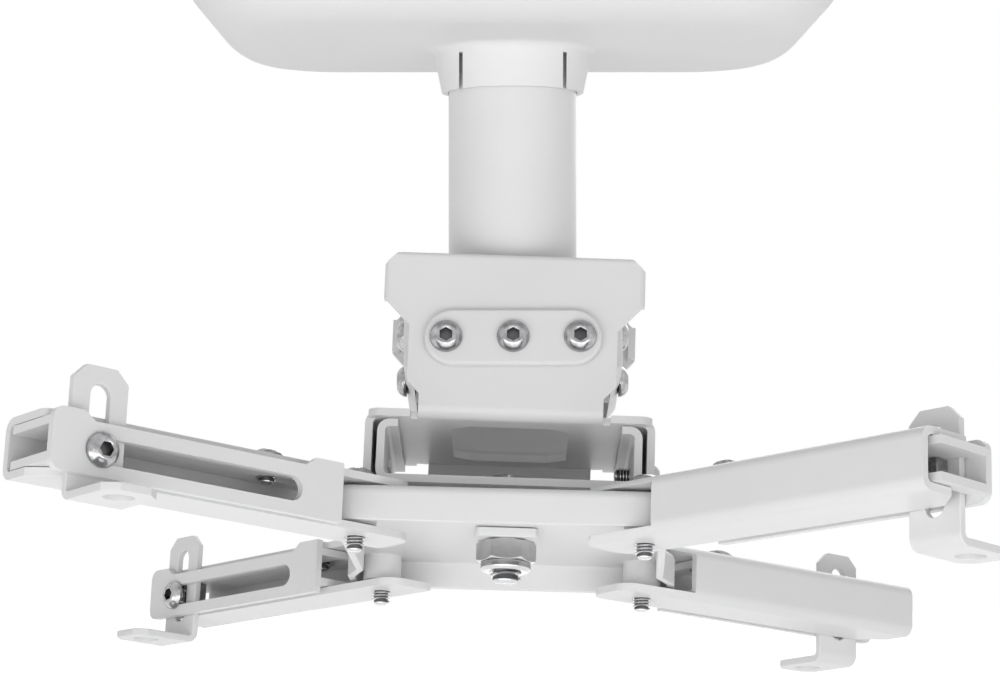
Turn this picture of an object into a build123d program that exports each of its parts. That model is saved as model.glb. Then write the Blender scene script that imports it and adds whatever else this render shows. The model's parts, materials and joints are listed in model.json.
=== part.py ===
from build123d import *
import os
from math import cos, radians, sqrt

# Ceiling mount for a projector. Millimetres, Z up, X to the right, Y to the back.
# The origin is the middle of the plate's ceiling face. Every piece is drawn in the frame of the
# body that carries it, and the pose below sets those bodies as the mount stands adjusted.

# Pose: how far each adjustment stands from its own zero, in degrees or millimetres
PITCH = 15.0
ROLL = 2.0
YAW = -2.4
ARM_NAMES = ("front_right", "rear_right", "rear_left", "front_left")
ARM_SIDES = {"front_right": (1, -1), "rear_right": (1, 1), "rear_left": (-1, 1), "front_left": (-1, -1)}
ARM_ANGLES = {"front_right": -44.0, "rear_right": 37.8, "rear_left": 134.5, "front_left": 221.5}
BAR_OUT = {"front_right": 3.0, "rear_right": 3.0, "rear_left": 2.0, "front_left": 0.0}
FOOT_OUT = {"front_right": 103.0, "rear_right": 100.0, "rear_left": 102.5, "front_left": 100.0}
FOOT_DROP = {"front_right": 7.2, "rear_right": 5.4, "rear_left": 6.0, "front_left": 3.5}

# Clearances
RUNNING_GAP = 0.3
PIVOT_GAP = 1.1
THREAD_GAP = 0.15
HOLE_GAP = 0.3

# Screws, nuts and the centre bolt
SCREW_D = 6.0
SCREW_HEAD_D = 10.5
SCREW_HEAD_H = 3.3
SOCKET_AF = 4.0
SOCKET_DEPTH = 2.0
SCREW_RIM_H = 0.8
SCREW_SHOULDER_D = 8.8
SCREW_SHOULDER_H = 2.4
SCREW_CROWN_D = 5.6
NUT_AF = 10.0
NUT_H = 5.0
BOLT_D = 10.0
BOLT_CHAMFER = 1.0
BOLT_HEAD_AF = 17.0
BOLT_HEAD_H = 6.4
BOLT_NUT_H = 7.0
HEX_TOP_SHARE = 0.98
HEX_SLOPE = 0.58
COLLAR_D = 16.5
COLLAR_H = 3.0
COLLAR_CHAMFER = 0.9
SPACER_D = 32.0
SQUARE_WASHER = 20.0
SQUARE_WASHER_R = 1.5
SQUARE_WASHER_T = 3.0
BOLT_TAIL = 4.0

# Ceiling plate, pole and cover
PLATE_X = 150.0
PLATE_Y = 120.0
PLATE_T = 4.0
PLATE_CORNER_R = 12.0
PLATE_SLOT_X = 56.0
PLATE_SLOT_Y = 44.0
PLATE_SLOT_LENGTH = 20.0
PLATE_SLOT_WIDTH = 7.0
POLE_D = 42.7
POLE_WALL = 2.0
POLE_END_Z = -125.0
COVER_X = 211.0
COVER_Y = 174.0
COVER_H = 42.0
COVER_CORNER_R = 44.0
COVER_EDGE_R = 23.0
COVER_WALL = 2.4
COVER_COLLAR_H = 14.5
COVER_COLLAR_WALL = 2.0
COVER_COLLAR_FLARE = 2.4
COVER_BLEND_R = 3.0
COVER_SLIT = 1.2
COVER_SLIT_X = 17.0

# Yoke under the pole
YOKE_T = 3.0
YOKE_HALF_X = 32.0
YOKE_DEPTH = 46.0
YOKE_CHEEK_DEPTH = 22.0
YOKE_BEND_R = 5.0
YOKE_CABLE_D = 30.0
PIVOT_DROP = 12.7
LOCK_R = 15.2
YOKE_CHEEK_END = 7.0

# Tilt frame: a ring of strip round the yoke
TILT_T = 3.0
TILT_HALF_Y = 33.2
TILT_TOP = 7.5
TILT_BOTTOM = -22.0
TILT_CORNER_R = 5.0
TILT_LIMIT = 18.0

# Roll bracket, measured from the roll axis
ROLL_Z = -11.0
ROLL_T = 2.5
ROLL_LIMIT = 12.0
ROLL_SCREW_X = 21.4
ROLL_PLATE_TOP = 28.4
ROLL_WIDE_END = 12.9
ROLL_NARROW_TOP = 3.9
ROLL_WIDE_MARGIN = 6.7
ROLL_WAIST = 1.9
ROLL_NECK = 5.9
ROLL_NECK_TOP = -14.6
ROLL_TOP_CHAMFER = 4.5
ROLL_LIP = 6.0
ROLL_BEND_R = 4.0
ROLL_FLOOR = -24.0
ROLL_SIDE_MARGIN = 11.0
ROLL_SIDE_HALF_Y = 31.0
ROLL_SIDE_DROP = 20.0
WINDOW_D = 54.0
WINDOW_FLATS = 38.0
CLAMP_X = 57.0
CLAMP_Z = 18.5
CLAMP_T = 2.5

# Hanger, measured from the roll axis
HANGER_T = 2.5
HANGER_FLOOR = -47.2
HANGER_HALF_Y = 33.0
HANGER_BEND_R = 4.0
HANGER_LIP = 6.5
HANGER_STOP_HALF = 27.7
HANGER_SIDE_GAP = 1.6
LOCK_SCREW_Z = -36.0
LOCK_SCREW_TAIL = 5.0
HOOK_WIDTH = 16.0
HOOK_T = 2.5
HOOK_REACH = 5.0

# Hub, measured from its middle height
HUB_T = 2.5
HUB_H = 11.4
HUB_GAP = 6.1
PIVOT_X = 44.8
PIVOT_Y = 47.5
HUB_CORNER_R = 11.0
HUB_EDGE_R = 3.0
HUB_BOSS_D = 13.0
HUB_WAIST = 4.0
HUB_WAIST_Y = 39.0

# Arms, measured from the pivot with X along the arm and Y to its open side
ARM_T = 2.4
ARM_LENGTH = 116.0
ARM_WEB_Y = -12.4
ARM_OPEN_Y = 9.5
ARM_BEND_R = 4.0
ARM_TONGUE = 16.0
ARM_TONGUE_R = 7.0
ARM_CORNER_CUT = 9.0
ARM_WEB_START = 14.0
ARM_END_R = 3.0
ARM_LOCK_X = 34.0
PIVOT_TAIL = 4.5
LOCK_TIP_Z = 2.0
ROLL_SCREW_TAIL = 1.5

# Sliding bars and feet
BAR_T = 2.5
BAR_START = 16.0
BAR_TRAVEL = 12.0
BAR_BACK_Y = -8.0
BAR_EAR = 10.0
BAR_CORNER_R = 3.5
BAR_SLOT_START = 34.5
BAR_SLOT_END = 101.0
BAR_SLOT_WIDTH = 7.6
FOOT_T = 2.5
FOOT_WIDTH = 18.0
FOOT_SCREW_Z = -1.5
FOOT_TOP = 28.5
FOOT_CHAMFER = 4.0
FOOT_BEND_R = 4.0
FOOT_REACH = 26.0
FOOT_HOLE_Y = 16.7
FOOT_HOLE_D = 9.0
FOOT_TRAVEL = 20.0

# Sizes that follow from those above
HOLE_D = SCREW_D + 2 * HOLE_GAP
TAPPED_D = SCREW_D + 2 * THREAD_GAP
POLE_BORE = POLE_D - 2 * POLE_WALL
PIVOT_Z = POLE_END_Z - PIVOT_DROP
TILT_HALF_X = YOKE_HALF_X + RUNNING_GAP + TILT_T
ROLL_WIDE_HALF = TILT_HALF_X + ROLL_WIDE_MARGIN
ROLL_NARROW_HALF = TILT_HALF_X - ROLL_WAIST
ROLL_NECK_HALF = TILT_HALF_X - ROLL_NECK
ROLL_HALF_X = TILT_HALF_X + ROLL_SIDE_MARGIN
ROLL_HALF_Y = TILT_HALF_Y + RUNNING_GAP + ROLL_T
CLAMP_Y = ROLL_HALF_Y + RUNNING_GAP
ROLL_SIDE_X = ROLL_HALF_X - ROLL_T
HANGER_HALF_X = ROLL_SIDE_X - HANGER_SIDE_GAP
HANGER_TOP = ROLL_FLOOR - ROLL_T - RUNNING_GAP
HUB_Z = HANGER_FLOOR - HUB_GAP - HUB_H / 2
ARM_HALF_Z = HUB_H / 2 + PIVOT_GAP + ARM_T
RAIL_HALF_Z = ARM_HALF_Z - ARM_T - RUNNING_GAP
FOOT_Y = ARM_OPEN_Y + RUNNING_GAP
BAR_FACE_Y = FOOT_Y + FOOT_T + RUNNING_GAP + BAR_T
BAR_END = ARM_LENGTH
BAR_HALF_Z = ARM_HALF_Z
FOOT_BOTTOM = -(BAR_HALF_Z + FOOT_SCREW_Z + RUNNING_GAP + FOOT_BEND_R)


def frame_of(parent, x, y, z, turn_x=0.0, turn_y=0.0, turn_z=0.0):
    """Frame of a body: moved to a point of its parent's frame and turned there."""
    return parent * Pos(x, y, z) * Rot(turn_x, turn_y, turn_z)


BASE = Location((0, 0, 0))
TILT = frame_of(BASE, 0, 0, PIVOT_Z, turn_x=-PITCH)
ROLLED = frame_of(TILT, 0, 0, ROLL_Z, turn_y=ROLL)
HUB = frame_of(ROLLED, 0, 0, HUB_Z, turn_z=YAW)


def arm_frame(name):
    """Frame of one arm: at its pivot on the hub, turned to point outwards."""
    side_x, side_y = ARM_SIDES[name]
    return frame_of(HUB, side_x * PIVOT_X, side_y * PIVOT_Y, 0, turn_z=ARM_ANGLES[name])


def bar_frame(name):
    """Frame of one arm's sliding bar."""
    return arm_frame(name) * Pos(BAR_OUT[name], 0, 0)


def carriage_frame(name):
    """Frame of the screw that clamps a foot along its bar's slot."""
    return arm_frame(name) * Pos(FOOT_OUT[name], 0, FOOT_SCREW_Z)


def foot_frame(name):
    """Frame of a foot, which slides up and down behind its screw."""
    return carriage_frame(name) * Pos(0, 0, -FOOT_DROP[name])


def cylinder_along(axis, diameter, start, length):
    """Round bar along X, Y or Z from a start point, used for pins and for cutting holes."""
    plane = {"X": Plane.YZ, "Y": Plane.XZ, "Z": Plane.XY}[axis]
    sign = -1 if axis == "Y" else 1
    return Pos(*start) * extrude(plane * Circle(diameter / 2), sign * length)


def folded(points, radius, thickness, half_width, side=Side.LEFT):
    """Sheet strip folded along an outline of its outer face, drawn in X and Y, centred on Z."""
    line = FilletPolyline(*points, radius=radius)
    section = make_face(offset(line, thickness, side=side))
    return extrude(section, half_width, both=True)


def arc_slot(radius, middle, half_angle, width):
    """Sketch of a slot bent round the origin, from its radius, middle direction and half angle."""
    path = CenterArc((0, 0), radius, middle - half_angle, 2 * half_angle)
    return SlotArc(path, width)


def button_screw(length):
    """Button head screw with a hexagon socket: head above Z=0, shank hanging down."""
    half_head = SCREW_HEAD_D / 2
    shoulder = SCREW_SHOULDER_D / 2
    crown = SCREW_CROWN_D / 2
    profile = make_face(
        [
            Line((0, -length), (SCREW_D / 2, -length)),
            Line((SCREW_D / 2, -length), (SCREW_D / 2, 0)),
            Line((SCREW_D / 2, 0), (half_head, 0)),
            Line((half_head, 0), (half_head, SCREW_RIM_H)),
            Line((half_head, SCREW_RIM_H), (shoulder, SCREW_SHOULDER_H)),
            Line((shoulder, SCREW_SHOULDER_H), (crown, SCREW_HEAD_H)),
            Line((crown, SCREW_HEAD_H), (0, SCREW_HEAD_H)),
            Line((0, SCREW_HEAD_H), (0, -length)),
        ]
    )
    body = revolve(Plane.XZ * profile, Axis.Z)
    socket = RegularPolygon(SOCKET_AF / 2, 6, major_radius=False)
    return body - extrude(Pos(0, 0, SCREW_HEAD_H - SOCKET_DEPTH) * socket, SOCKET_DEPTH)


def hex_blank(across_flats, height):
    """Hexagon block with its lower face on Z=0, corners rounded off to a cone at both ends."""
    blank = extrude(RegularPolygon(across_flats / 2, 6, major_radius=False), height)
    corner_r = across_flats / 2 / cos(radians(30))
    top_r = across_flats / 2 * HEX_TOP_SHARE
    drop = (corner_r - top_r) * HEX_SLOPE
    cone = revolve(
        Plane.XZ
        * make_face(
            Polyline(
                (0, 0), (top_r, 0), (corner_r, drop), (corner_r, height - drop),
                (top_r, height), (0, height), close=True,
            )
        ),
        Axis.Z,
    )
    return blank & cone


def hex_nut(across_flats, height, bore):
    """Hexagon nut with its lower face on Z=0."""
    return hex_blank(across_flats, height) - cylinder_along("Z", bore, (0, 0, 0), height)


def facing(axis, sign):
    """Turn that points a screw's head from +Z along +X, -X, +Y or -Y."""
    if axis == "X":
        return Rot(0, sign * 90, 0)
    return Rot(-sign * 90, 0, 0)


def ceiling_plate():
    """Flat plate with four adjusting slots for the ceiling screws and a hole for cables."""
    outline = RectangleRounded(PLATE_X, PLATE_Y, PLATE_CORNER_R)
    slot = SlotOverall(PLATE_SLOT_LENGTH, PLATE_SLOT_WIDTH)
    for x in (-PLATE_SLOT_X, PLATE_SLOT_X):
        for y in (-PLATE_SLOT_Y, PLATE_SLOT_Y):
            outline -= Pos(x, y) * slot
    outline -= Circle(POLE_BORE / 2)
    return extrude(outline, -PLATE_T)


def pole():
    """Round pole welded under the ceiling plate."""
    ring = Circle(POLE_D / 2) - Circle(POLE_BORE / 2)
    return Pos(0, 0, POLE_END_Z) * extrude(ring, -POLE_END_Z - PLATE_T)


def cover_tray(size_x, size_y, height, corner_r, edge_r):
    """Solid tray form hanging from the ceiling, with its lower edge rounded."""
    blank = extrude(RectangleRounded(size_x, size_y, corner_r), -height)
    lower_edges = blank.faces().sort_by(Axis.Z)[0].edges()
    return fillet(lower_edges, edge_r)


def ceiling_cover():
    """Moulded cover: rounded tray with a slit, slightly flared collar that grips the pole."""
    outer = cover_tray(COVER_X, COVER_Y, COVER_H, COVER_CORNER_R, COVER_EDGE_R)
    inner = cover_tray(
        COVER_X - 2 * COVER_WALL, COVER_Y - 2 * COVER_WALL, COVER_H - COVER_WALL,
        COVER_CORNER_R - COVER_WALL, COVER_EDGE_R - COVER_WALL,
    )
    bore_r = POLE_D / 2 + RUNNING_GAP
    rim_r = bore_r + COVER_COLLAR_WALL
    root_r = rim_r + COVER_COLLAR_FLARE
    collar = revolve(
        Plane.XZ
        * make_face(
            [
                Line((bore_r, -COVER_H - COVER_COLLAR_H), (rim_r, -COVER_H - COVER_COLLAR_H)),
                Line((rim_r, -COVER_H - COVER_COLLAR_H), (root_r, -COVER_H - COVER_BLEND_R)),
                RadiusArc(
                    (root_r, -COVER_H - COVER_BLEND_R),
                    (root_r + COVER_BLEND_R, -COVER_H),
                    COVER_BLEND_R,
                ),
                Line((root_r + COVER_BLEND_R, -COVER_H), (root_r + COVER_BLEND_R, -COVER_H + COVER_WALL)),
                Line((root_r + COVER_BLEND_R, -COVER_H + COVER_WALL), (bore_r, -COVER_H + COVER_WALL)),
                Line((bore_r, -COVER_H + COVER_WALL), (bore_r, -COVER_H - COVER_COLLAR_H)),
            ]
        ),
        Axis.Z,
    )
    shell = outer - inner - cylinder_along("Z", 2 * bore_r, (0, 0, -2 * COVER_H), 2 * COVER_H) + collar
    slit = Box(COVER_SLIT, 3 * POLE_D, COVER_COLLAR_H - COVER_BLEND_R)
    slit_z = -COVER_H - COVER_COLLAR_H + (COVER_COLLAR_H - COVER_BLEND_R) / 2
    return shell - Pos(-COVER_SLIT_X, 0, slit_z) * slit - Pos(COVER_SLIT_X, 0, slit_z) * slit


def pole_yoke():
    """Folded yoke welded to the pole's lower end: a top plate and two rounded cheeks."""
    top = POLE_END_Z
    cheek_end = PIVOT_Z - LOCK_R - YOKE_CHEEK_END
    strip = folded(
        [(-YOKE_HALF_X, cheek_end), (-YOKE_HALF_X, top), (YOKE_HALF_X, top), (YOKE_HALF_X, cheek_end)],
        YOKE_BEND_R, YOKE_T, YOKE_DEPTH / 2, Side.RIGHT,
    )
    strip = Rot(90, 0, 0) * strip
    cheek_top = PIVOT_Z + YOKE_CHEEK_DEPTH / 2
    side_view = Pos(0, (cheek_top + cheek_end) / 2) * Rectangle(YOKE_CHEEK_DEPTH, cheek_top - cheek_end)
    side_view = fillet(side_view.vertices().sort_by(Axis.Y)[:2], YOKE_CHEEK_DEPTH / 2 - 0.5)
    side_view += Pos(0, (top + cheek_top) / 2) * Rectangle(YOKE_DEPTH, top - cheek_top)
    keep = extrude(Plane.YZ * side_view, YOKE_HALF_X + 1, both=True)
    yoke = strip & keep
    yoke -= cylinder_along("Z", YOKE_CABLE_D, (0, 0, top - 2 * YOKE_T), 3 * YOKE_T)
    for z in (PIVOT_Z, PIVOT_Z - LOCK_R):
        yoke -= cylinder_along("X", HOLE_D, (-YOKE_HALF_X - 1, 0, z), 2 * YOKE_HALF_X + 2)
    return yoke


def pitch_screws(z):
    """Pair of button screws through the cheeks at one height, heads outwards."""
    length = TILT_T + RUNNING_GAP + YOKE_T + NUT_H + 2
    screw = button_screw(length)
    return [Pos(sign * TILT_HALF_X, 0, z) * facing("X", sign) * screw for sign in (-1, 1)]


def pitch_nuts():
    """Four plain nuts welded to the inner faces of the yoke's cheeks."""
    outline = RegularPolygon(NUT_AF / 2, 6, major_radius=False) - Circle(TAPPED_D / 2)
    nut = extrude(outline, NUT_H)
    inner = YOKE_HALF_X - YOKE_T - NUT_H
    nuts = []
    for z in (PIVOT_Z, PIVOT_Z - LOCK_R):
        for sign in (-1, 1):
            nuts.append(Pos(sign * inner, 0, z) * facing("X", sign) * nut)
    return nuts


def tilt_frame():
    """Ring of folded strip that swings on the pitch screws and carries the roll screws."""
    ring = RectangleRounded(2 * TILT_HALF_X, 2 * TILT_HALF_Y, TILT_CORNER_R)
    ring -= RectangleRounded(2 * (TILT_HALF_X - TILT_T), 2 * (TILT_HALF_Y - TILT_T), TILT_CORNER_R - TILT_T)
    frame = Pos(0, 0, TILT_BOTTOM) * extrude(ring, TILT_TOP - TILT_BOTTOM)
    frame -= cylinder_along("X", HOLE_D, (-TILT_HALF_X - 1, 0, 0), 2 * TILT_HALF_X + 2)
    slot = arc_slot(LOCK_R, -90, TILT_LIMIT, HOLE_D)
    frame -= extrude(Plane.YZ * slot, TILT_HALF_X + 1, both=True)
    for x in (-ROLL_SCREW_X, 0, ROLL_SCREW_X):
        frame -= cylinder_along("Y", TAPPED_D, (x, -TILT_HALF_Y - 1, ROLL_Z), 2 * TILT_HALF_Y + 2)
    corner = Pos(0, TILT_BOTTOM) * Rot(0, 0, 45) * Rectangle(2 * TILT_T, 2 * TILT_T)
    for sign in (-1, 1):
        frame -= extrude(Plane.XZ * Pos(sign * TILT_HALF_X, 0) * corner, TILT_HALF_Y + 1, both=True)
    return frame


def clamp_plate(sign):
    """Long round-ended plate under the three roll screws on one side."""
    plate = extrude(SlotOverall(CLAMP_X, CLAMP_Z), CLAMP_T)
    holes = extrude(Circle(HOLE_D / 2), CLAMP_T)
    for x in (-ROLL_SCREW_X, 0, ROLL_SCREW_X):
        plate -= Pos(x, 0, 0) * holes
    outer_edges = plate.faces().sort_by(Axis.Z)[-1].outer_wire().edges()
    plate = fillet(outer_edges, CLAMP_T * 0.5)
    return Pos(0, sign * CLAMP_Y, ROLL_Z) * facing("Y", sign) * plate


def roll_screws(sign):
    """Three button screws through one clamp plate, the roll bracket and the tilt frame."""
    seat = CLAMP_Y + CLAMP_T
    length = seat - TILT_HALF_Y + TILT_T + ROLL_SCREW_TAIL
    screw = button_screw(length)
    places = (-ROLL_SCREW_X, 0, ROLL_SCREW_X)
    return [Pos(x, sign * seat, ROLL_Z) * facing("Y", sign) * screw for x in places]


def roll_plate_outline():
    """Front view of an upright plate: wide head with cut corners, waist and narrow neck."""
    right = [
        (ROLL_NECK_HALF, ROLL_FLOOR - ROLL_T),
        (ROLL_NECK_HALF, ROLL_NECK_TOP - (ROLL_NARROW_HALF - ROLL_NECK_HALF)),
        (ROLL_NARROW_HALF, ROLL_NECK_TOP),
        (ROLL_NARROW_HALF, ROLL_NARROW_TOP),
        (ROLL_WIDE_HALF, ROLL_WIDE_END),
        (ROLL_WIDE_HALF, ROLL_PLATE_TOP - ROLL_TOP_CHAMFER),
        (ROLL_WIDE_HALF - ROLL_TOP_CHAMFER, ROLL_PLATE_TOP),
    ]
    left = [(-x, z) for x, z in reversed(right)]
    return make_face(Polyline(*right, *left, close=True))


def roll_upright():
    """Front upright plate of the roll bracket with its stiffening lips and arc slots."""
    outline = roll_plate_outline()
    plate = extrude(Plane.XZ.offset(ROLL_HALF_Y) * outline, -ROLL_T)
    lip_y = -ROLL_HALF_Y + ROLL_LIP / 2
    side_z = (ROLL_WIDE_END + ROLL_PLATE_TOP - ROLL_TOP_CHAMFER) / 2
    side_h = ROLL_PLATE_TOP - ROLL_TOP_CHAMFER - ROLL_WIDE_END
    top_x = 2 * (ROLL_WIDE_HALF - ROLL_TOP_CHAMFER)
    for sign in (-1, 1):
        plate += Pos(sign * (ROLL_WIDE_HALF - ROLL_T / 2), lip_y, side_z) * Box(ROLL_T, ROLL_LIP, side_h)
    plate += Pos(0, lip_y, ROLL_PLATE_TOP - ROLL_T / 2) * Box(top_x, ROLL_LIP, ROLL_T)
    plate = fillet(lip_edges(plate), ROLL_T * 0.8)
    centre = Circle(HOLE_D / 2)
    for middle in (0, 180):
        centre += arc_slot(ROLL_SCREW_X, middle, ROLL_LIMIT, HOLE_D)
    return plate - extrude(Plane.XZ * centre, ROLL_HALF_Y + 1)


def lip_edges(plate):
    """Outer fold edges between an upright plate's face and its top and side lips."""
    front = plate.faces().sort_by(Axis.Y)[0]
    found = []
    for edge in front.outer_wire().edges():
        middle = edge @ 0.5
        on_side = abs(abs(middle.X) - ROLL_WIDE_HALF) < 0.01
        on_top = abs(middle.Z - ROLL_PLATE_TOP) < 0.01
        if on_side or on_top:
            found.append(edge)
    return found


def roll_floor():
    """Floor of the roll bracket with its cable window and turned-down sides."""
    half_x = ROLL_HALF_X
    low = ROLL_FLOOR - ROLL_T
    strip = folded(
        [(-half_x, low - ROLL_SIDE_DROP), (-half_x, low + ROLL_T), (half_x, low + ROLL_T),
         (half_x, low - ROLL_SIDE_DROP)],
        ROLL_BEND_R, ROLL_T, ROLL_SIDE_HALF_Y, Side.RIGHT,
    )
    floor = Rot(90, 0, 0) * strip
    apron_y = ROLL_HALF_Y - ROLL_BEND_R
    apron = extrude(Pos(0, 0, low) * RectangleRounded(2 * ROLL_HALF_X - 2, 2 * ROLL_HALF_Y - 1, 4), ROLL_T)
    reach = ROLL_SIDE_HALF_Y - 1
    side_gap = Box(2 * ROLL_T + 1, 2 * reach, ROLL_T)
    for sign in (-1, 1):
        apron -= Pos(sign * ROLL_HALF_X, 0, low + ROLL_T / 2) * side_gap
    floor += apron
    window = Circle(WINDOW_D / 2) & Rectangle(WINDOW_FLATS, WINDOW_D)
    floor -= extrude(Pos(0, 0, low - 1) * window, ROLL_T + 2)
    neck_cut = Box(2 * ROLL_NECK_HALF + 2 * ROLL_T, ROLL_HALF_Y - apron_y + 1, 2 * ROLL_T)
    for sign in (-1, 1):
        floor -= Pos(0, sign * (apron_y + ROLL_HALF_Y + 1) / 2, low) * neck_cut
    return floor


def roll_bend():
    """Folded corner strip between the floor and the front upright plate."""
    low = ROLL_FLOOR - ROLL_T
    strip = folded(
        [(-(ROLL_HALF_Y - 3 * ROLL_BEND_R), low), (-ROLL_HALF_Y, low), (-ROLL_HALF_Y, low + 3 * ROLL_BEND_R)],
        ROLL_BEND_R, ROLL_T, ROLL_NECK_HALF, Side.RIGHT,
    )
    return Rot(0, 0, 90) * Rot(90, 0, 0) * strip


def roll_bracket():
    """Bracket that rolls on the centre screws: floor, two uprights and two turned-down sides."""
    upright = roll_upright()
    low = ROLL_FLOOR - ROLL_T
    trim = Pos(0, -ROLL_HALF_Y, low) * Box(2 * ROLL_WIDE_HALF, 4 * ROLL_T, 2 * ROLL_BEND_R)
    front = (upright - trim) + roll_bend()
    bracket = roll_floor() + front + Rot(0, 0, 180) * front
    bracket -= cylinder_along("X", HOLE_D, (0, 0, LOCK_SCREW_Z), ROLL_HALF_X + 1)
    hook_y = HOOK_WIDTH / 2
    hook_z = LOCK_SCREW_Z
    hook = Box(HOOK_REACH + ROLL_T, 2 * hook_y, HOOK_T)
    bracket += Pos(-ROLL_HALF_X + (HOOK_REACH + ROLL_T) / 2, 0, hook_z) * hook
    return bracket


def hanger_bracket():
    """Folded hanger that carries the hub: floor, lipped sides and an upright stop at the back."""
    low = HANGER_FLOOR
    top = HANGER_TOP
    half = HANGER_HALF_X
    lip = half - HANGER_LIP
    strip = folded(
        [(-lip, top), (-half, top), (-half, low), (half, low), (half, top), (lip, top)],
        HANGER_BEND_R, HANGER_T, HANGER_HALF_Y, Side.LEFT,
    )
    hanger = Rot(90, 0, 0) * strip
    stop = folded(
        [(HANGER_HALF_Y - 3 * HANGER_BEND_R, low), (HANGER_HALF_Y, low), (HANGER_HALF_Y, top)],
        HANGER_BEND_R, HANGER_T, HANGER_STOP_HALF, Side.LEFT,
    )
    edge_trim = Box(2 * HANGER_STOP_HALF, 2 * HANGER_BEND_R, 3 * HANGER_T)
    hanger -= Pos(0, HANGER_HALF_Y, low) * edge_trim
    hanger += Rot(0, 0, 90) * Rot(90, 0, 0) * stop
    hanger -= cylinder_along("Z", BOLT_D + 2 * HOLE_GAP, (0, 0, low - 1), HANGER_T + 2)
    hanger -= cylinder_along("X", TAPPED_D, (0, 0, LOCK_SCREW_Z), half + 1)
    hook_window = Box(3 * HANGER_T, HOOK_WIDTH + 2 * RUNNING_GAP, HOOK_T + 2 * RUNNING_GAP)
    return hanger - Pos(-half, 0, LOCK_SCREW_Z) * hook_window


def hanger_lock_screw():
    """Button screw that locks the hanger's right side to the roll bracket."""
    length = ROLL_HALF_X - HANGER_HALF_X + HANGER_T + LOCK_SCREW_TAIL
    return Pos(ROLL_HALF_X, 0, LOCK_SCREW_Z) * facing("X", 1) * button_screw(length)


def hub_plate_underside():
    """Height of the hub plate's underside, from the roll axis."""
    return HUB_Z + HUB_H / 2 - HUB_T


def center_bolt():
    """Hexagon bolt that the hub turns on, head inside the hanger and thread hanging below."""
    seat = HANGER_FLOOR + HANGER_T
    end = hub_plate_underside() - SQUARE_WASHER_T - BOLT_NUT_H - COLLAR_H - BOLT_TAIL
    head = hex_blank(BOLT_HEAD_AF, BOLT_HEAD_H)
    shank = cylinder_along("Z", BOLT_D, (0, 0, end - seat), seat - end)
    shank = chamfer(shank.edges().sort_by(Axis.Z)[:1], BOLT_CHAMFER)
    return Pos(0, 0, seat) * (head + shank)


def hub_spacer():
    """Round spacer between the hanger and the hub."""
    ring = Circle(SPACER_D / 2) - Circle(BOLT_D / 2 + HOLE_GAP)
    return Pos(0, 0, HANGER_FLOOR - HUB_GAP + RUNNING_GAP) * extrude(ring, HUB_GAP - RUNNING_GAP)


def square_washer():
    """Thick square washer under the hub."""
    outline = RectangleRounded(SQUARE_WASHER, SQUARE_WASHER, SQUARE_WASHER_R) - Circle(BOLT_D / 2 + HOLE_GAP)
    top = hub_plate_underside() - RUNNING_GAP
    return Pos(0, 0, top - SQUARE_WASHER_T) * extrude(outline, SQUARE_WASHER_T)


def hub_nut():
    """Nut on the centre bolt, under the square washer."""
    top = hub_plate_underside() - RUNNING_GAP - SQUARE_WASHER_T
    return Pos(0, 0, top - BOLT_NUT_H) * hex_nut(BOLT_HEAD_AF, BOLT_NUT_H, BOLT_D + 2 * THREAD_GAP)


def lock_collar():
    """Thin round locking ring that jams the nut."""
    top = hub_plate_underside() - RUNNING_GAP - SQUARE_WASHER_T - BOLT_NUT_H
    ring = extrude(Circle(COLLAR_D / 2) - Circle(BOLT_D / 2 + THREAD_GAP), COLLAR_H)
    lower_edge = ring.faces().sort_by(Axis.Z)[0].outer_wire().edges()
    return Pos(0, 0, top - COLLAR_H) * chamfer(lower_edge, COLLAR_CHAMFER)


def hub_outline(inset):
    """Plan of the hub: round corners at the four pivots and a shallow waist at each side."""
    half_x = PIVOT_X + HUB_CORNER_R
    half_y = PIVOT_Y + HUB_CORNER_R
    plan = RectangleRounded(2 * half_x, 2 * half_y, HUB_CORNER_R)
    waist_x = half_x - HUB_WAIST
    waist = make_face(
        Polyline(
            (half_x + 1, -HUB_WAIST_Y), (half_x, -HUB_WAIST_Y), (waist_x, -HUB_WAIST_Y + 3 * HUB_WAIST),
            (waist_x, HUB_WAIST_Y - 3 * HUB_WAIST), (half_x, HUB_WAIST_Y), (half_x + 1, HUB_WAIST_Y),
            close=True,
        )
    )
    plan = plan - waist - Rot(0, 0, 180) * waist
    return offset(plan, -inset, kind=Kind.INTERSECTION) if inset else plan


def hub():
    """Pressed pan that the arms pivot on: plate, skirt turned down all round, boss at each pivot."""
    pan = Pos(0, 0, -HUB_H / 2) * extrude(hub_outline(0), HUB_H)
    pan = fillet(pan.faces().sort_by(Axis.Z)[-1].outer_wire().edges(), HUB_EDGE_R)
    hollow = Pos(0, 0, -HUB_H / 2) * extrude(hub_outline(HUB_T), HUB_H - HUB_T)
    pan -= hollow
    for side_x, side_y in ARM_SIDES.values():
        pivot = (side_x * PIVOT_X, side_y * PIVOT_Y, -HUB_H / 2)
        pan += cylinder_along("Z", HUB_BOSS_D, pivot, HUB_H - HUB_T / 2)
        pan -= cylinder_along("Z", HOLE_D, pivot, HUB_H)
    return pan - cylinder_along("Z", BOLT_D + 2 * HOLE_GAP, (0, 0, -HUB_H), 2 * HUB_H)


def pivot_screws():
    """Four arm pivot screws, heads on the arms' upper tongues and threads hanging below."""
    screw = button_screw(2 * ARM_HALF_Z + PIVOT_TAIL)
    return {name: arm_frame(name) * Pos(0, 0, ARM_HALF_Z) * screw for name in ARM_NAMES}


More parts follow.
